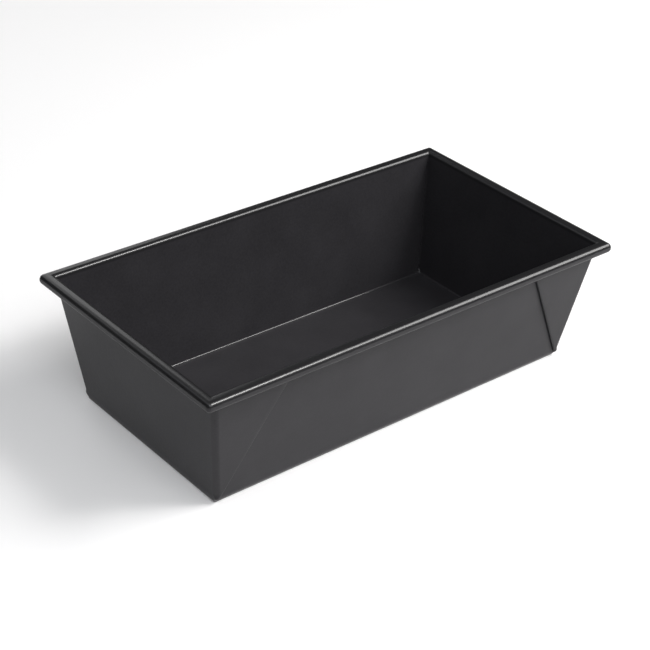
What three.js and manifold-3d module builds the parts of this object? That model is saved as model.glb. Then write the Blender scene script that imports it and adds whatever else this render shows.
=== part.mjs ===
// A rectangular loaf pan folded from one blank of coated sheet steel.
//
// The blank makes the floor, the four walls, the gusset folded flat at each
// corner and the rim, which is rolled outwards over a wire. Each panel between
// two bends is one solid here, parted from the next by a hairline at the bend.
//
// Millimetres. The origin is the centre of the underside, +X runs along the
// pan's length, +Y across it and +Z up.

import * as THREE from 'three';
import Module from 'manifold-3d';
import { mergeVertices } from 'three/addons/utils/BufferGeometryUtils.js';

// ---- driving dimensions ----------------------------------------------------

const RIM_LENGTH = 255;          // over the rolled rim
const RIM_WIDTH = 140;
const HEIGHT = 69.5;             // underside to the top of the rim
const BASE_LENGTH = 223;         // outside, where the walls' faces meet the ground
const BASE_WIDTH = 107;
const SHEET = 0.6;               // thickness of the blank
const BEAD_RADIUS = 2.8;         // outside of the rolled rim
const WALL_TOP_INSET = 6.5;      // rim's outer edge to the wall's outer face
const BASE_BEND_RADIUS = 1.5;    // outside of the bend between floor and wall
const RIM_BEND_RADIUS = 2.0;     // middle of the sheet where the wall turns out
const PLY_GAP = 0.1;             // between the two plies of a folded gusset
const KNEE = 3.0;                // height from which a wall's ends run straight
const FOLD_WIDTH = 1.0;          // solid strip along a gusset's folded edge
const HAIRLINE = 0.3;            // parting between neighbouring solids
const WIRE_BEND_RADIUS = 2.5;    // middle of the wire at the rim's corners
const WIRE_BUTT_GAP = 0.5;       // between the two ends of the wire

const ARC_STEPS = 6;             // facets in a quarter bend
const CURL_STEPS = 24;           // facets round the rolled rim
const WIRE_SIDES = 16;

// ---- derived dimensions ----------------------------------------------------

const WALL_TOP = HEIGHT - 2 * BEAD_RADIUS;
const WIRE_RADIUS = BEAD_RADIUS - SHEET - HAIRLINE;
const GUSSET_THICKNESS = 2 * SHEET + PLY_GAP;
const GUSSET_FACE = HAIRLINE + GUSSET_THICKNESS;
const MITRE_HALF_GAP = HAIRLINE * Math.SQRT1_2;
const RIGHT_ANGLE = Math.PI / 2;

// A side is described in its own section: o is the distance outwards from the
// pan's middle, and z the height.
function makeSide(baseHalf, rimHalf) {
  const run = rimHalf - WALL_TOP_INSET - baseHalf;
  return { baseHalf, rimHalf, lean: Math.atan2(run, WALL_TOP) };
}

const LONG = makeSide(BASE_WIDTH / 2, RIM_WIDTH / 2);
const END = makeSide(BASE_LENGTH / 2, RIM_LENGTH / 2);

// The gusset folds along the bisector of what is left of the blank's corner.
const CORNER_ANGLE = RIGHT_ANGLE - LONG.lean - END.lean;
const FOLD_LEAN = CORNER_ANGLE / 2 - END.lean;

// Distance outwards to a wall at height z, `depth` square in from its outer face.
function faceAt(side, z, depth) {
  return side.baseHalf + z * Math.tan(side.lean) - depth / Math.cos(side.lean);
}

// Distance outwards to where the floor begins to bend up into a wall.
function bendStart(side) {
  return faceAt(side, BASE_BEND_RADIUS, BASE_BEND_RADIUS);
}

// ---- sections --------------------------------------------------------------

// Points of an arc with the way out from its centre, from angle a to angle b.
function arc(centre, radius, a, b, steps) {
  const points = [];
  for (let i = 0; i <= steps; i += 1) {
    const angle = a + ((b - a) * i) / steps;
    const out = new THREE.Vector2(Math.cos(angle), Math.sin(angle));
    points.push({ at: centre.clone().addScaledVector(out, radius), out });
  }
  return points;
}

// The middle of a side's wall at height z, with the way square out from it.
function onWall(side, z) {
  const out = new THREE.Vector2(Math.cos(side.lean), -Math.sin(side.lean));
  return { at: new THREE.Vector2(faceAt(side, z, SHEET / 2), z), out };
}

// The outline of a sheet whose middle runs along the given points.
function sheetShape(middle) {
  const offset = (sign) => ({ at, out }) => at.clone().addScaledVector(out, (sign * SHEET) / 2);
  const outer = middle.map(offset(1));
  const inner = middle.map(offset(-1)).reverse();
  return new THREE.Shape([...outer, ...inner]);
}

// Floor bend and wall, up to just below the rim.
function wallShape(side) {
  const bendCentre = new THREE.Vector2(bendStart(side), BASE_BEND_RADIUS);
  const bend = arc(
    bendCentre, BASE_BEND_RADIUS - SHEET / 2, -RIGHT_ANGLE, -side.lean, ARC_STEPS);
  return sheetShape([...bend, onWall(side, KNEE), onWall(side, WALL_TOP - HAIRLINE)]);
}

// The wall's last millimetres, the bend outwards, and the curl round the wire.
function rimShape(side) {
  const centreHeight = HEIGHT - SHEET / 2 - RIM_BEND_RADIUS;
  const turn = onWall(side, centreHeight + RIM_BEND_RADIUS * Math.sin(side.lean));
  const centre = turn.at.clone().addScaledVector(turn.out, RIM_BEND_RADIUS);
  const turnOut = arc(centre, RIM_BEND_RADIUS, Math.PI - side.lean, RIGHT_ANGLE, ARC_STEPS);
  const curl = arc(
    wireCentre(side), BEAD_RADIUS - SHEET / 2, RIGHT_ANGLE, -Math.PI, CURL_STEPS);
  const inside = [...turnOut, ...curl].map(({ at, out }) => ({ at, out: out.negate() }));
  return sheetShape([onWall(side, WALL_TOP), ...inside]);
}

function wireCentre(side) {
  return new THREE.Vector2(side.rimHalf - BEAD_RADIUS, HEIGHT - BEAD_RADIUS);
}

// ---- solids ----------------------------------------------------------------

const wasm = await Module();
wasm.setup();

function toManifold(geometry) {
  const bare = geometry.clone();
  bare.deleteAttribute('normal');
  bare.deleteAttribute('uv');
  const merged = mergeVertices(bare);
  return new wasm.Manifold(new wasm.Mesh({
    numProp: 3,
    vertProperties: new Float32Array(merged.attributes.position.array),
    triVerts: new Uint32Array(merged.index.array),
  }));
}

function toGeometry(solid) {
  const mesh = solid.getMesh();
  const geometry = new THREE.BufferGeometry();
  geometry.setAttribute('position', new THREE.BufferAttribute(mesh.vertProperties, mesh.numProp));
  geometry.setIndex(new THREE.BufferAttribute(mesh.triVerts, 1));
  return geometry;
}

// A side's section run along the side. Both ends follow reach(o, z), the half
// length at that point of the section.
function runAlongSide(shape, reach) {
  const geometry = new THREE.ExtrudeGeometry(shape, { depth: 1, bevelEnabled: false });
  const position = geometry.attributes.position;
  for (let i = 0; i < position.count; i += 1) {
    const o = position.getX(i);
    const z = position.getY(i);
    const end = position.getZ(i) > 0.5 ? -1 : 1;
    position.setXYZ(i, end * reach(o, z), -o, z);
  }
  geometry.deleteAttribute('normal');
  geometry.deleteAttribute('uv');
  return mergeVertices(geometry);
}

// A flat plate on the front wall: its outline in (x, z), between two distances
// square out from the wall's outer face.
function plateOnWall(outline, near, far) {
  const geometry = new THREE.ExtrudeGeometry(
    new THREE.Shape(outline), { depth: 1, bevelEnabled: false });
  const position = geometry.attributes.position;
  for (let i = 0; i < position.count; i += 1) {
    const depth = position.getZ(i) > 0.5 ? far : near;
    const z = position.getY(i);
    position.setXYZ(i, position.getX(i), -faceAt(LONG, z, -depth), z);
  }
  return toManifold(geometry);
}

// ---- sub-parts of the blank -------------------------------------------------

function floorPanel() {
  const half = (side) => bendStart(side) - HAIRLINE;
  const geometry = new THREE.BoxGeometry(2 * half(END), 2 * half(LONG), SHEET);
  geometry.translate(0, 0, SHEET / 2);
  return geometry;
}

// The long walls run between the end walls.
function longWall() {
  const foot = bendStart(END) - HAIRLINE;
  const reach = (o, z) => (z < BASE_BEND_RADIUS ? foot : faceAt(END, z, SHEET + HAIRLINE));
  return runAlongSide(wallShape(LONG), reach);
}

// The end walls run past the long walls and turn the corner into the gussets.
function endWall() {
  const foot = LONG.baseHalf;
  const reach = (o, z) => (z < BASE_BEND_RADIUS ? foot : faceAt(LONG, z, -GUSSET_FACE));
  return runAlongSide(wallShape(END), reach);
}

// The gusset at the right end of the front wall: two plies, joined along the
// fold that rises from the base corner and leans away from the end wall.
function gusset() {
  const top = WALL_TOP - HAIRLINE;
  const foot = KNEE;
  const foldX = (z) => END.baseHalf - (z / Math.cos(LONG.lean)) * Math.tan(FOLD_LEAN);
  const edgeX = (z) => faceAt(END, z, SHEET + HAIRLINE);
  const footPoint = new THREE.Vector2(foldX(foot), foot);
  const topPoint = new THREE.Vector2(foldX(top), top);
  const ply = [
    footPoint,
    new THREE.Vector2(edgeX(foot), foot),
    new THREE.Vector2(edgeX(top), top),
    topPoint,
  ];
  const strip = [
    footPoint,
    new THREE.Vector2(footPoint.x + FOLD_WIDTH, foot),
    new THREE.Vector2(topPoint.x + FOLD_WIDTH, top),
    topPoint,
  ];
  const innerPly = plateOnWall(ply, HAIRLINE, HAIRLINE + SHEET);
  const outerPly = plateOnWall(ply, HAIRLINE + SHEET + PLY_GAP, GUSSET_FACE);
  const fold = plateOnWall(strip, HAIRLINE, GUSSET_FACE);
  return toGeometry(innerPly.add(outerPly).add(fold));
}

// One side of the rolled rim, mitred at both ends.
function rolledRim(side, across) {
  const reach = (o) => across.rimHalf - (side.rimHalf - o) - MITRE_HALF_GAP;
  return runAlongSide(rimShape(side), reach);
}

// ---- the wire in the rim -----------------------------------------------------

// Places along the wire's middle, with the level way outwards at each. It sets
// off from the middle of the back and comes round to the same place.
function wirePath() {
  const x = wireCentre(END).x - WIRE_BEND_RADIUS;
  const y = wireCentre(LONG).x - WIRE_BEND_RADIUS;
  const corners = [[-x, y], [-x, -y], [x, -y], [x, y]];
  const up = new THREE.Vector2(0, 1);
  const backY = y + WIRE_BEND_RADIUS;
  const path = [{ at: new THREE.Vector2(-WIRE_BUTT_GAP / 2, backY), out: up }];
  corners.forEach(([cx, cy], i) => {
    const from = RIGHT_ANGLE * (i + 1);
    const corner = new THREE.Vector2(cx, cy);
    path.push(...arc(corner, WIRE_BEND_RADIUS, from, from + RIGHT_ANGLE, ARC_STEPS));
  });
  path.push({ at: new THREE.Vector2(WIRE_BUTT_GAP / 2, backY), out: up });
  return path;
}

function rimWire() {
  const path = wirePath();
  const height = HEIGHT - BEAD_RADIUS;
  const vertices = [];
  path.forEach(({ at, out }) => {
    for (let k = 0; k < WIRE_SIDES; k += 1) {
      const angle = (2 * Math.PI * k) / WIRE_SIDES;
      const across = WIRE_RADIUS * Math.cos(angle);
      const rise = WIRE_RADIUS * Math.sin(angle);
      vertices.push(at.x + out.x * across, at.y + out.y * across, height + rise);
    }
  });
  const triangles = [];
  const last = (path.length - 1) * WIRE_SIDES;
  for (let k = 0; k < WIRE_SIDES; k += 1) {
    const next = (k + 1) % WIRE_SIDES;
    for (let row = 0; row < last; row += WIRE_SIDES) {
      const ahead = row + WIRE_SIDES;
      triangles.push(row + k, ahead + k, row + next, row + next, ahead + k, ahead + next);
    }
  }
  for (let k = 1; k < WIRE_SIDES - 1; k += 1) {
    triangles.push(0, k, k + 1, last, last + k + 1, last + k);
  }
  const geometry = new THREE.BufferGeometry();
  geometry.setAttribute('position', new THREE.Float32BufferAttribute(vertices, 3));
  geometry.setIndex(triangles);
  return geometry;
}

// ---- assembly ----------------------------------------------------------------

const coating = new THREE.MeshStandardMaterial({
  name: 'dark_nonstick_coating', color: 0x38383b, roughness: 0.42, metalness: 0.0,
});
const steel = new THREE.MeshStandardMaterial({
  name: 'bare_steel_wire', color: 0x9a9a98, roughness: 0.35, metalness: 1.0,
});

const pan = new THREE.Group();

function place(name, geometry, material = coating, turn = 0) {
  const mesh = new THREE.Mesh(geometry, material);
  mesh.name = name;
  mesh.rotation.z = turn;
  pan.add(mesh);
}

// A mirror image keeps its faces pointing out only if each triangle is reversed.
function mirrored(geometry) {
  const copy = geometry.clone();
  copy.scale(-1, 1, 1);
  const index = copy.index.array;
  for (let i = 0; i < index.length; i += 3) {
    const first = index[i];
    index[i] = index[i + 1];
    index[i + 1] = first;
  }
  return copy;
}

const HALF_TURN = Math.PI;

place('floor_panel', floorPanel());
place('front_wall', longWall());
place('back_wall', longWall(), coating, HALF_TURN);
place('right_end_wall', endWall(), coating, RIGHT_ANGLE);
place('left_end_wall', endWall(), coating, -RIGHT_ANGLE);

place('front_right_corner_flap', gusset());
place('front_left_corner_flap', mirrored(gusset()));
place('back_left_corner_flap', gusset(), coating, HALF_TURN);
place('back_right_corner_flap', mirrored(gusset()), coating, HALF_TURN);

place('front_rolled_rim', rolledRim(LONG, END));
place('back_rolled_rim', rolledRim(LONG, END), coating, HALF_TURN);
place('right_rolled_rim', rolledRim(END, LONG), coating, RIGHT_ANGLE);
place('left_rolled_rim', rolledRim(END, LONG), coating, -RIGHT_ANGLE);

place('rim_wire', rimWire(), steel);

export default pan;
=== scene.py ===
"""Looks of a loaf pan folded from one blank of dark coated sheet steel.

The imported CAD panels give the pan's size and place. Each panel gets a finer mesh of the same sheet,
with its bends, hems and folds rounded. Neighbouring meshes share their borders, so the sheet runs
on without a joint. Lengths are in metres, angles in radians, and the pan stands on z = 0.
"""

import math
from collections import namedtuple

import bpy
from mathutils import Matrix, Vector


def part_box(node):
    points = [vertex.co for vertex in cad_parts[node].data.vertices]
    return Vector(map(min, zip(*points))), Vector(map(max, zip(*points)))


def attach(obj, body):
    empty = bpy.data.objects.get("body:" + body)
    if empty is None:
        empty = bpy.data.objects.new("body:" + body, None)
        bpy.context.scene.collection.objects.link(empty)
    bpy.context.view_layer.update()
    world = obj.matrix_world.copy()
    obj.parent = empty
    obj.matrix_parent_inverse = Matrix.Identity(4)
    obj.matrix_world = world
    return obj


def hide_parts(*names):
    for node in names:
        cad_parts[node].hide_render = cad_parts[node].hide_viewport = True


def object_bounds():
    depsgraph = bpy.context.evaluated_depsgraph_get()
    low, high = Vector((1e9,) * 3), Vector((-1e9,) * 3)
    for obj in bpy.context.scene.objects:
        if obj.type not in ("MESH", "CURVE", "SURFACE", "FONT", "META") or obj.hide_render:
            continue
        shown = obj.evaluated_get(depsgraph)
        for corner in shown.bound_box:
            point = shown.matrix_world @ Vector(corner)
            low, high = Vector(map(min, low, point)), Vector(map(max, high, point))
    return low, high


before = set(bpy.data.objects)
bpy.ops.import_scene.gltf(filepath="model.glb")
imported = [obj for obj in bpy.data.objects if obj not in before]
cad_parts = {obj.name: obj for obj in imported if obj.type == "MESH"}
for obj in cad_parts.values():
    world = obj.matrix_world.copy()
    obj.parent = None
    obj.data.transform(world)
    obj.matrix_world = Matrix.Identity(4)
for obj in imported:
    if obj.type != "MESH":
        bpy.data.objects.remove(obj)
CAD_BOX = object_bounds()

MM = 0.001
RIGHT = math.pi / 2

# ---- sizes -----------------------------------------------------------------------------

SHEET = 0.6 * MM                 # thickness of the blank
HALF = SHEET / 2
HAIRLINE = 0.3 * MM              # parting between the CAD panels
BASE_BEND = 1.5 * MM             # outside of the bend between floor and wall
BEAD_RADIUS = 2.8 * MM           # outside of the rolled rim
RIM_BEND = 2.0 * MM              # middle of the sheet where the wall turns out
RIM_CORNER = 2.3 * MM            # plan radius of the rim's outer corners
NECK_CORNER = 0.6 * MM           # plan radius of the rim's inner corners
BASE_CORNER = 1.1 * MM           # plan radius of the upright corners at the floor
WALL_CORNER = 2.3 * MM           # and further up, both at the middle of the sheet
PLY_GAP = 0.1 * MM               # between the two plies of a folded gusset
STANDOFF = 0.2 * MM              # between a long wall and a gusset's inner ply
STANDOFF_FROM = 1.4 * MM         # height where the gusset starts to stand off
STANDOFF_FULL = 3.4 * MM         # height where it stands off in full
FOLD_ROOM = 0.8 * MM             # level room that a gusset's fold needs
HEM_TURN = math.radians(150)     # how far a long wall's hem turns behind the end wall
HEM_LEAD = 0.6 * MM              # length of the hem where it hasn't turned yet
HEM_CLEARANCE = 1.75 * MM        # from a hem's centre to the middle of the end wall
FLAP_OVERLAP = 0.6 * MM          # how far a gusset reaches up into the rolled rim
WIRE_RADIUS = 1.9 * MM
WIRE_BUTT_GAP = 0.5 * MM
HEM_START = 0.4                  # share of the standoff where a long wall's hem begins to turn
HOLD = 0.5 * MM                  # distance of a holding row from a bend

BEND_STEPS = 8
CORNER_STEPS = 10
HEM_STEPS = 8
FOLD_STEPS = 12
CURL_STEPS = 36
WIRE_SIDES = 24
END_SPANS = 10                   # parts of an end wall's width
LONG_SPANS = 12                  # and of a long wall's
LOW_ROWS = 9                     # rows up a wall, half a hold apart
MIDDLE_ROWS = 14                 # then a hold apart
HIGH_ROWS = 6                    # and then evenly up to the rim
LEAN_ROUNDS = 6                  # rounds in which a side's lean settles
SHARP_ANGLE = math.radians(35)   # between faces that meet in a sharp edge


# ---- the pan's two kinds of side, read from the frame ------------------------------------

Side = namedtuple("Side", "base lean bend rim")


def read_side(axis, wall):
    """Half size at the ground, lean, start of the base bend and half size over the rim."""
    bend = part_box("floor_panel")[1][axis] + HAIRLINE
    wall_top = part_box(wall)[1]
    rise = wall_top.z - BASE_BEND
    run = wall_top[axis] - bend
    lean = 0.0
    for _ in range(LEAN_ROUNDS):
        lean = math.atan((run - BASE_BEND / math.cos(lean)) / rise)
    base = bend - BASE_BEND * (math.tan(lean) - 1 / math.cos(lean))
    return Side(base, lean, bend, CAD_BOX[1][axis])


LONG = read_side(1, "back_wall")
END = read_side(0, "right_end_wall")
HEIGHT = CAD_BOX[1].z
WALL_TOP = HEIGHT - 2 * BEAD_RADIUS
BEAD_HEIGHT = HEIGHT - BEAD_RADIUS
FOLD_LEAN = (RIGHT - LONG.lean - END.lean) / 2 - END.lean
PLY_PITCH = SHEET + PLY_GAP
GUSSET_OUT = (STANDOFF + PLY_PITCH + SHEET) / math.cos(LONG.lean)
HEM_RADIUS = (STANDOFF + SHEET) / 2


def face(side, z, depth=0.0):
    """Distance outwards to a wall at height z, depth square in from its outer face."""
    return side.base + z * math.tan(side.lean) - depth / math.cos(side.lean)


def smooth(x):
    x = min(max(x, 0.0), 1.0)
    return x * x * (3 - 2 * x)


def lerp(a, b, t):
    return a + (b - a) * t


# ---- mesh work --------------------------------------------------------------------------

def grid_normals(grid, closed):
    """Unit normals at the points of a grid of rows and columns, from the quads around each."""
    rows, cols = len(grid), len(grid[0])
    normals = [[Vector() for _ in range(cols)] for _ in range(rows)]
    for i in range(rows - 1):
        for j in range(cols if closed else cols - 1):
            k = (j + 1) % cols
            up = grid[i + 1][j] + grid[i + 1][k] - grid[i][j] - grid[i][k]
            along = grid[i][k] + grid[i + 1][k] - grid[i][j] - grid[i + 1][j]
            n = along.cross(up).normalized()
            for a, b in ((i, j), (i, k), (i + 1, j), (i + 1, k)):
                normals[a][b] += n
    return [[n.normalized() for n in row] for row in normals]


def new_object(name, vertices, faces):
    mesh = bpy.data.meshes.new(name)
    mesh.from_pydata([tuple(v) for v in vertices], [], faces)
    mesh.validate()
    mesh.shade_smooth()
    mesh.set_sharp_from_angle(angle=SHARP_ANGLE)
    obj = bpy.data.objects.new(name, mesh)
    bpy.context.collection.objects.link(obj)
    return obj


def thick_sheet(name, grid, closed=False):
    """A closed solid, one sheet thick, about a grid that gives the middle of the sheet."""
    rows, cols = len(grid), len(grid[0])
    normals = grid_normals(grid, closed)
    points = [p for row in grid for p in row]
    ways = [n for row in normals for n in row]
    vertices = [p + n * HALF for p, n in zip(points, ways)]
    vertices += [p - n * HALF for p, n in zip(points, ways)]
    back = rows * cols
    faces = []
    for i in range(rows - 1):
        for j in range(cols if closed else cols - 1):
            k = (j + 1) % cols
            a, b, c, d = i * cols + j, i * cols + k, (i + 1) * cols + k, (i + 1) * cols + j
            faces += [(a, b, c, d), (back + d, back + c, back + b, back + a)]
    top = (rows - 1) * cols
    for j in range(cols if closed else cols - 1):
        k = (j + 1) % cols
        faces += [(j, back + j, back + k, k), (top + k, back + top + k, back + top + j, top + j)]
    if not closed:
        for i in range(rows - 1):
            a, b = i * cols, (i + 1) * cols
            c, d = a + cols - 1, b + cols - 1
            faces += [(b, back + b, back + a, a), (c, back + c, back + d, d)]
    return new_object(name, vertices, faces)


def spread(a, b, steps):
    """Places from a to b, with a holding place close to each end."""
    inner = [lerp(a, b, i / steps) for i in range(1, steps)]
    toward = HOLD if b > a else -HOLD
    return [a, a + toward, *inner, b - toward, b]


def turned(grid, half_turn):
    """The same grid at the other end of the pan, where half_turn is true."""
    sign = -1 if half_turn else 1
    return [[Vector((sign * p.x, sign * p.y, p.z)) for p in row] for row in grid]


def mirrored(grid):
    """The grid's mirror image, left for right, with its columns reversed to keep its facing."""
    return [[Vector((-p.x, p.y, p.z)) for p in reversed(row)] for row in grid]


# ---- rows up a wall ----------------------------------------------------------------------

Row = namedtuple("Row", "long_o long_z end_o end_z corner standoff")


def fold_edge(z):
    """Place along a long wall of a gusset's folded edge, at the middle of its sheet."""
    return END.base - z / math.cos(LONG.lean) * math.tan(FOLD_LEAN) + HALF / math.cos(FOLD_LEAN)


def standoff(z):
    """How far a gusset's outer ply has left the long wall's plane at height z."""
    return GUSSET_OUT * smooth((z - STANDOFF_FROM) / (STANDOFF_FULL - STANDOFF_FROM))


def corner_radius(z):
    """Plan radius of the upright corner, tight where the folded edge leaves little room."""
    room = face(END, z, HALF) - fold_edge(z) - FOLD_ROOM
    return min(max(room, BASE_CORNER), WALL_CORNER)


def bend_point(side, t):
    """Place and height on the base bend, from the floor (t = 0) to the wall (t = 1)."""
    angle = lerp(-RIGHT, -side.lean, t)
    radius = BASE_BEND - HALF
    return side.bend + radius * math.cos(angle), BASE_BEND + radius * math.sin(angle)


def wall_rows():
    """Rows from the floor's edge, round the base bend and up to the foot of the rim."""
    rows = []
    for i in range(BEND_STEPS + 1):
        long_o, long_z = bend_point(LONG, i / BEND_STEPS)
        end_o, end_z = bend_point(END, i / BEND_STEPS)
        rows.append(Row(long_o, long_z, end_o, end_z, BASE_CORNER, 0.0))
    low = [STANDOFF_FROM + i * HOLD / 2 for i in range(LOW_ROWS)]
    middle = [low[-1] + (i + 1) * HOLD for i in range(MIDDLE_ROWS)]
    high = [lerp(middle[-1], WALL_TOP - HOLD, (i + 1) / HIGH_ROWS) for i in range(HIGH_ROWS)]
    for z in [*low, *middle, *high, WALL_TOP]:
        long_o, end_o = face(LONG, z, HALF), face(END, z, HALF)
        rows.append(Row(long_o, z, end_o, z, corner_radius(z), standoff(z)))
    return rows


ROWS = wall_rows()


# ---- panels of the blank -----------------------------------------------------------------

def corner_arc(row, sign):
    """The upright bend at the right end, from the end wall round to the gusset's plane."""
    wrap = row.long_o + row.standoff
    cx, cy = row.end_o - row.corner, wrap - row.corner
    points = []
    for i in range(CORNER_STEPS + 1):
        t = i / CORNER_STEPS
        angle = RIGHT * t
        x = cx + row.corner * math.cos(angle)
        y = sign * (cy + row.corner * math.sin(angle))
        points.append(Vector((x, y, lerp(row.end_z, row.long_z, t))))
    return points


def end_wall_grid():
    """The right end wall, with the upright bends at both of its ends."""
    grid = []
    for row in ROWS:
        front, back = corner_arc(row, -1), corner_arc(row, 1)
        straight = spread(front[0].y, back[0].y, END_SPANS)[1:-1]
        middle = [Vector((row.end_o, y, row.end_z)) for y in straight]
        grid.append([*reversed(front), *middle, *back])
    return grid


def hem(row):
    """The right end of the front wall, which turns outwards behind the end wall."""
    turned_in = smooth((row.standoff / GUSSET_OUT - HEM_START) / (1 - HEM_START))
    flush = row.end_o - row.corner
    centre = row.end_o - HEM_CLEARANCE
    points = []
    for i in range(HEM_STEPS + 1):
        t = i / HEM_STEPS
        angle = HEM_TURN * t
        plain_x = flush - HEM_LEAD * (1 - t)
        x = lerp(plain_x, centre + HEM_RADIUS * math.sin(angle), turned_in)
        out = turned_in * HEM_RADIUS * (1 - math.cos(angle))
        points.append(Vector((x, -(row.long_o + out), row.long_z)))
    return points


def long_wall_grid():
    """The front wall, with a hem at each end."""
    grid = []
    for row in ROWS:
        right = hem(row)
        left = [Vector((-p.x, p.y, p.z)) for p in reversed(right)]
        straight = spread(left[-1].x, right[0].x, LONG_SPANS)[1:-1]
        middle = [Vector((x, -row.long_o, row.long_z)) for x in straight]
        grid.append([*left, *middle, *right])
    return grid


def gusset_grid():
    """The gusset at the right end of the front wall: outer ply, folded edge and inner ply."""
    heights = [row.long_z for row in ROWS if row.long_z > STANDOFF_FULL - HOLD / 4]
    fold_radius = PLY_PITCH / 2
    reach = fold_radius / math.cos(FOLD_LEAN)
    grid = []
    for z in [*heights, WALL_TOP + FLAP_OVERLAP]:
        wall = face(LONG, z, HALF)
        side_x = face(END, z, HALF) - corner_radius(z)
        edge = fold_edge(z)
        outer = wall + standoff(z)
        inner = outer - PLY_PITCH / math.cos(LONG.lean)
        starts = edge + reach
        places = [lerp(side_x, starts, t) for t in (0, 0.5, 0.9)]
        columns = [(x, outer) for x in places]
        for k in range(FOLD_STEPS + 1):
            angle = math.pi * k / FOLD_STEPS
            x = starts - reach * math.sin(angle)
            columns.append((x, lerp(outer, inner, (1 - math.cos(angle)) / 2)))
        columns += [(x, inner) for x in reversed(places)]
        grid.append([Vector((x, -o, z)) for x, o in reversed(columns)])
    return grid


def floor_object(name):
    """The floor, out to where its edges bend up."""
    loop = []
    for sx, sy, backwards in ((1, -1, True), (1, 1, False), (-1, 1, True), (-1, -1, False)):
        arc = corner_arc(ROWS[0], sy)
        arc = [Vector((sx * p.x, p.y, 0)) for p in (reversed(arc) if backwards else arc)]
        loop += arc
    count = len(loop)
    vertices = [p + Vector((0, 0, SHEET)) for p in loop] + loop
    sides = [(i, count + i, count + (i + 1) % count, (i + 1) % count) for i in range(count)]
    faces = [tuple(range(count)), tuple(reversed(range(count, 2 * count))), *sides]
    return new_object(name, vertices, faces)


# ---- the rolled rim and its wire ---------------------------------------------------------

def rim_section(side):
    """Middle of the sheet from the foot of the rim, out over the wire and round under it."""
    centre_z = HEIGHT - HALF - RIM_BEND
    start_z = centre_z + RIM_BEND * math.sin(side.lean)
    centre_o = face(side, start_z, HALF) + RIM_BEND * math.cos(side.lean)
    section = [(face(side, z, HALF), z) for z in (WALL_TOP, WALL_TOP + HOLD, start_z - HOLD)]
    for i in range(BEND_STEPS + 1):
        angle = lerp(math.pi - side.lean, RIGHT, i / BEND_STEPS)
        o = centre_o + RIM_BEND * math.cos(angle)
        section.append((o, centre_z + RIM_BEND * math.sin(angle)))
    wire_o = side.rim - BEAD_RADIUS
    section.append((lerp(centre_o, wire_o, 0.5), HEIGHT - HALF))
    for i in range(CURL_STEPS + 1):
        angle = lerp(RIGHT, -math.pi, i / CURL_STEPS)
        radius = BEAD_RADIUS - HALF
        section.append((wire_o + radius * math.cos(angle), BEAD_HEIGHT + radius * math.sin(angle)))
    return section


def corner(quarter, radius, long_point, end_point):
    """The turn of a loop round one upright corner. Quarter 0 is at the back right."""
    (long_o, long_z), (end_o, end_z) = long_point, end_point
    sign_x, sign_y = ((1, 1), (-1, 1), (-1, -1), (1, -1))[quarter]
    points = []
    for i in range(CORNER_STEPS + 1):
        angle = RIGHT * (quarter + i / CORNER_STEPS)
        x = sign_x * (end_o - radius) + radius * math.cos(angle)
        y = sign_y * (long_o - radius) + radius * math.sin(angle)
        points.append(Vector((x, y, lerp(long_z, end_z, abs(math.cos(angle))))))
    return points


def travel(quarter):
    """The way along a loop where a corner's turn begins."""
    angle = RIGHT * quarter
    return Vector((-math.sin(angle), math.cos(angle), 0))


def loop(long_point, end_point, gap=0.0):
    """One loop round the pan, through a point of the long sides' section and one of the end sides'.

    It starts and ends on the back, where a gap leaves it open.
    """
    inboard = END.rim - HALF - end_point[0]
    radius = max(RIM_CORNER - HALF - inboard, NECK_CORNER)
    front_middle = Vector((0, -long_point[0], long_point[1]))
    start = Vector((-gap / 2, long_point[0], long_point[1]))
    stop = Vector((gap / 2 + HOLD, long_point[0], long_point[1]))
    points = [start]
    for quarter in (1, 2, 3, 0):
        turn = corner(quarter, radius, long_point, end_point)
        before, after = travel(quarter) * HOLD, travel(quarter + 1) * HOLD
        points += [turn[0] - before, *turn, turn[-1] + after]
        if quarter == 2:
            points.append(front_middle)
    return [*points, stop, stop - Vector((HOLD, 0, 0))] if gap else points


def rolled_rim(name):
    grid = [loop(a, b) for a, b in zip(rim_section(LONG), rim_section(END))]
    return thick_sheet(name, grid, closed=True)


def rim_wire(name):
    """The wire inside the rolled rim, whose two ends meet at the back."""
    loops = []
    for k in range(WIRE_SIDES):
        angle = 2 * math.pi * k / WIRE_SIDES
        out = WIRE_RADIUS * math.cos(angle) - BEAD_RADIUS
        z = BEAD_HEIGHT + WIRE_RADIUS * math.sin(angle)
        loops.append(loop((LONG.rim + out, z), (END.rim + out, z), WIRE_BUTT_GAP))
    count = len(loops[0])
    faces = []
    for k in range(WIRE_SIDES):
        this, after = k * count, (k + 1) % WIRE_SIDES * count
        faces += [(this + j, this + j + 1, after + j + 1, after + j) for j in range(count - 1)]
    ends = [k * count for k in range(WIRE_SIDES)]
    faces += [tuple(ends), tuple(end + count - 1 for end in reversed(ends))]
    return new_object(name, [p for loop_points in loops for p in loop_points], faces)


# ---- materials ---------------------------------------------------------------------------

BLEND_HEIGHT = 1.0 * MM          # over which the gloss of the rim or the base bend sets in, as does the rim's painted shade
BEND_BLEND = 0.2 * MM            # and the same where the floor meets the base bend
WALL_COAT, RIM_COAT = 0.12, 0.7  # share of clear gloss on the walls and on the rim
GRAIN_DEPTH = 0.03 * MM


def node_material(name):
    material = bpy.data.materials.new(name)
    material.use_nodes = True
    nodes = material.node_tree.nodes
    return material, nodes, material.node_tree.links, nodes["Principled BSDF"]


def noise(nodes, links, coordinates, scale, detail):
    node = nodes.new("ShaderNodeTexNoise")
    node.inputs["Scale"].default_value = scale
    node.inputs["Detail"].default_value = detail
    links.new(coordinates, node.inputs["Vector"])
    return node.outputs["Fac"]


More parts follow.
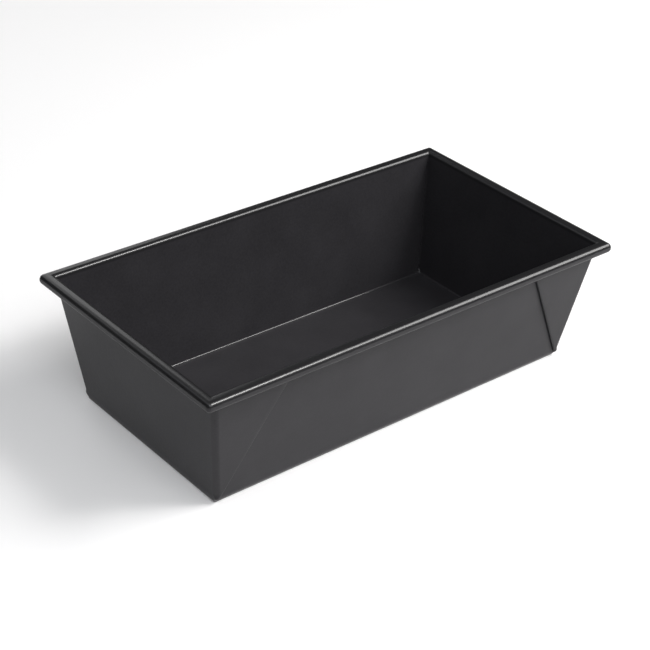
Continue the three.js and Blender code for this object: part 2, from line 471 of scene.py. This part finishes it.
def remap(nodes, links, value, low, high, start=0.3, end=0.7):
    """The value taken from start..end, where most of a noise lies, to low..high."""
    node = nodes.new("ShaderNodeMapRange")
    node.inputs["From Min"].default_value = start
    node.inputs["From Max"].default_value = end
    node.inputs["To Min"].default_value = low
    node.inputs["To Max"].default_value = high
    links.new(value, node.inputs["Value"])
    return node.outputs["Result"]


def combined(nodes, links, operation, a, b):
    node = nodes.new("ShaderNodeMath")
    node.operation = operation
    links.new(a, node.inputs[0])
    links.new(b, node.inputs[1])
    return node.outputs["Value"]


def bumped(nodes, links, height, depth):
    """The surface's normal with a bump of that depth in metres."""
    node = nodes.new("ShaderNodeBump")
    node.inputs["Strength"].default_value = 1.0
    node.inputs["Distance"].default_value = depth
    links.new(height, node.inputs["Height"])
    return node.outputs["Normal"]


def coating_material():
    """A baked-on coating: nearly black, satin, mottled, and burnished at the rim and base bend, with
    painted shade that darkens the colour of the rolled rim.
    """
    material, nodes, links, shader = node_material("dark_nonstick_coating")
    place = nodes.new("ShaderNodeTexCoord").outputs["Object"]
    mottle = noise(nodes, links, place, 45, 3)
    grain = noise(nodes, links, place, 900, 3)
    colour = nodes.new("ShaderNodeMix")
    colour.data_type = "RGBA"
    colour.inputs["A"].default_value = (0.0235, 0.0226, 0.0250, 1)
    colour.inputs["B"].default_value = (0.0345, 0.0333, 0.0365, 1)
    mottle, speckle = remap(nodes, links, mottle, 0.0, 0.5), remap(nodes, links, grain, 0.0, 0.5)
    links.new(combined(nodes, links, "ADD", mottle, speckle), colour.inputs["Factor"])
    axes = nodes.new("ShaderNodeSeparateXYZ")
    links.new(place, axes.inputs["Vector"])
    height = axes.outputs["Z"]
    rim = (BEAD_HEIGHT, BEAD_HEIGHT + BLEND_HEIGHT)
    above_floor = remap(nodes, links, height, 0.0, 1.0, SHEET, SHEET + BEND_BLEND)
    below_wall = remap(nodes, links, height, 1.0, 0.0, BASE_BEND, BASE_BEND + BLEND_HEIGHT)
    base_bend = combined(nodes, links, "MULTIPLY", above_floor, below_wall)
    rim_coat = remap(nodes, links, height, WALL_COAT, RIM_COAT, *rim)
    coat = combined(nodes, links, "MAXIMUM", base_bend, rim_coat)
    # painted shade: the colour turns darker over the rolled rim, standing in for the dark bands of
    # shade and dark reflection on it
    painted_rim_shade = nodes.new("ShaderNodeMix")
    painted_rim_shade.data_type = "RGBA"
    painted_rim_shade.inputs["B"].default_value = (0.014, 0.014, 0.015, 1)
    links.new(colour.outputs["Result"], painted_rim_shade.inputs["A"])
    links.new(remap(nodes, links, height, 0.0, 1.0, *rim), painted_rim_shade.inputs["Factor"])
    links.new(painted_rim_shade.outputs["Result"], shader.inputs["Base Color"])
    links.new(coat, shader.inputs["Coat Weight"])
    links.new(remap(nodes, links, grain, 0.38, 0.46), shader.inputs["Roughness"])
    links.new(bumped(nodes, links, grain, GRAIN_DEPTH), shader.inputs["Normal"])
    shader.inputs["IOR"].default_value = 1.22
    shader.inputs["Coat Roughness"].default_value = 0.18
    return material


def wire_material():
    """Drawn steel wire."""
    material, nodes, links, shader = node_material("drawn_steel")
    place = nodes.new("ShaderNodeTexCoord").outputs["Object"]
    streaks = noise(nodes, links, place, 400, 4)
    shader.inputs["Base Color"].default_value = (0.55, 0.55, 0.54, 1)
    shader.inputs["Metallic"].default_value = 1.0
    links.new(remap(nodes, links, streaks, 0.3, 0.5), shader.inputs["Roughness"])
    return material


COATING = coating_material()
STEEL = wire_material()


def finish_piece(piece, slot, material, *nodes):
    piece.data.materials.append(material)
    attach(piece, "root")
    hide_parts(*nodes)


def make_pan():
    finish_piece(floor_object("pan_floor"), "coating", COATING, "floor_panel")
    long_wall, end_wall, flap = long_wall_grid(), end_wall_grid(), gusset_grid()
    for name, half_turn in (("front_wall", False), ("back_wall", True)):
        piece = thick_sheet("pan_" + name, turned(long_wall, half_turn))
        finish_piece(piece, "coating", COATING, name)
    for name, half_turn in (("right_end_wall", False), ("left_end_wall", True)):
        piece = thick_sheet("pan_" + name, turned(end_wall, half_turn))
        finish_piece(piece, "coating", COATING, name)
    flaps = (
        ("front_right_corner_flap", flap, False),
        ("front_left_corner_flap", mirrored(flap), False),
        ("back_left_corner_flap", flap, True),
        ("back_right_corner_flap", mirrored(flap), True),
    )
    for name, grid, half_turn in flaps:
        piece = thick_sheet("pan_" + name, turned(grid, half_turn))
        finish_piece(piece, "coating", COATING, name)
    sides = ("front_rolled_rim", "back_rolled_rim", "left_rolled_rim", "right_rolled_rim")
    finish_piece(rolled_rim("pan_rolled_rim"), "coating", COATING, *sides)
    finish_piece(rim_wire("pan_rim_wire"), "wire", STEEL, "rim_wire")


make_pan()


# ---- studio ------------------------------------------------------------------------------

FLOOR_RADIUS = 1.05
FLOOR_SIDES = 96
AMBIENT = 0.02                   # brightness of the surroundings on the pan
BACKDROP = 0.97                  # and as seen beyond the floor's edge
LIGHT_AIM = (0, 0, 0.04)
WARM = (1.0, 0.985, 0.975)
COOL = (0.93, 0.95, 1.0)
CAMERA_AT = (-0.49589, -0.57259, 0.48960)
CAMERA_RIGHT = (0.77407, -0.63171, 0.04204)
CAMERA_UP = (0.30018, 0.42467, 0.85414)


def make_floor():
    mesh = bpy.data.meshes.new("studio_floor")
    angles = [2 * math.pi * i / FLOOR_SIDES for i in range(FLOOR_SIDES)]
    edge = [(FLOOR_RADIUS * math.cos(a), FLOOR_RADIUS * math.sin(a), 0) for a in angles]
    mesh.from_pydata(edge, [], [tuple(range(FLOOR_SIDES))])
    floor = bpy.data.objects.new("studio_floor", mesh)
    bpy.context.collection.objects.link(floor)
    material, *_, shader = node_material("pale_floor")
    shader.inputs["Base Color"].default_value = (0.9, 0.9, 0.9, 1)
    shader.inputs["Roughness"].default_value = 0.9
    shader.inputs["Emission Color"].default_value = (1, 1, 1, 1)
    shader.inputs["Emission Strength"].default_value = 0.12
    mesh.materials.append(material)


def make_world():
    """Nearly dark, so that the softboxes shape the light, but pale beyond the floor's edge."""
    world = bpy.data.worlds.new("studio")
    bpy.context.scene.world = world
    world.use_nodes = True
    nodes, links = world.node_tree.nodes, world.node_tree.links
    brightness = nodes.new("ShaderNodeMapRange")
    brightness.inputs["To Min"].default_value = AMBIENT
    brightness.inputs["To Max"].default_value = BACKDROP
    seen = nodes.new("ShaderNodeLightPath").outputs["Is Camera Ray"]
    links.new(seen, brightness.inputs["Value"])
    links.new(brightness.outputs["Result"], nodes["Background"].inputs["Strength"])
    nodes["Background"].inputs["Color"].default_value = (1, 1, 1, 1)


def softbox(name, at, width, height, power, colour=(1, 1, 1)):
    """A soft light aimed at the pan, which the camera doesn't see itself."""
    light = bpy.data.lights.new(name, "AREA")
    light.shape = "RECTANGLE"
    light.size, light.size_y = width, height
    light.energy = power
    light.color = colour
    obj = bpy.data.objects.new(name, light)
    obj.location = at
    way = Vector(LIGHT_AIM) - Vector(at)
    obj.rotation_euler = way.to_track_quat("-Z", "Y").to_euler()
    obj.visible_camera = False
    bpy.context.collection.objects.link(obj)


def make_lights():
    softbox("key", (0.96, -0.54, 1.0), 0.7, 0.7, 15.0, WARM)
    softbox("glint", (0.58, -0.78, 1.1), 0.3, 0.3, 6.5, WARM)
    softbox("front_left", (-0.6, -0.9, 1.2), 0.8, 0.8, 5.0, COOL)
    softbox("back_left", (-0.7, 0.6, 1.2), 0.8, 0.8, 1.4, COOL)
    softbox("top_left", (-0.5, -0.2, 1.4), 0.8, 0.8, 2.8)
    softbox("back", (0.1, 1.4, 0.8), 1.4, 0.8, 5.5)
    softbox("front", (0.1, -1.3, 1.1), 1.2, 0.8, 7.0)


def make_camera():
    """The photograph's viewpoint."""
    camera = bpy.data.cameras.new("camera")
    camera.sensor_width = 36.0
    camera.lens = 96.65
    right, up = Vector(CAMERA_RIGHT), Vector(CAMERA_UP)
    obj = bpy.data.objects.new("camera", camera)
    turn = Matrix((right, up, right.cross(up))).transposed().to_4x4()
    obj.matrix_world = Matrix.Translation(CAMERA_AT) @ turn
    bpy.context.collection.objects.link(obj)
    bpy.context.scene.camera = obj


make_floor()
make_world()
make_lights()
make_camera()
bpy.context.scene.view_settings.view_transform = "Standard"
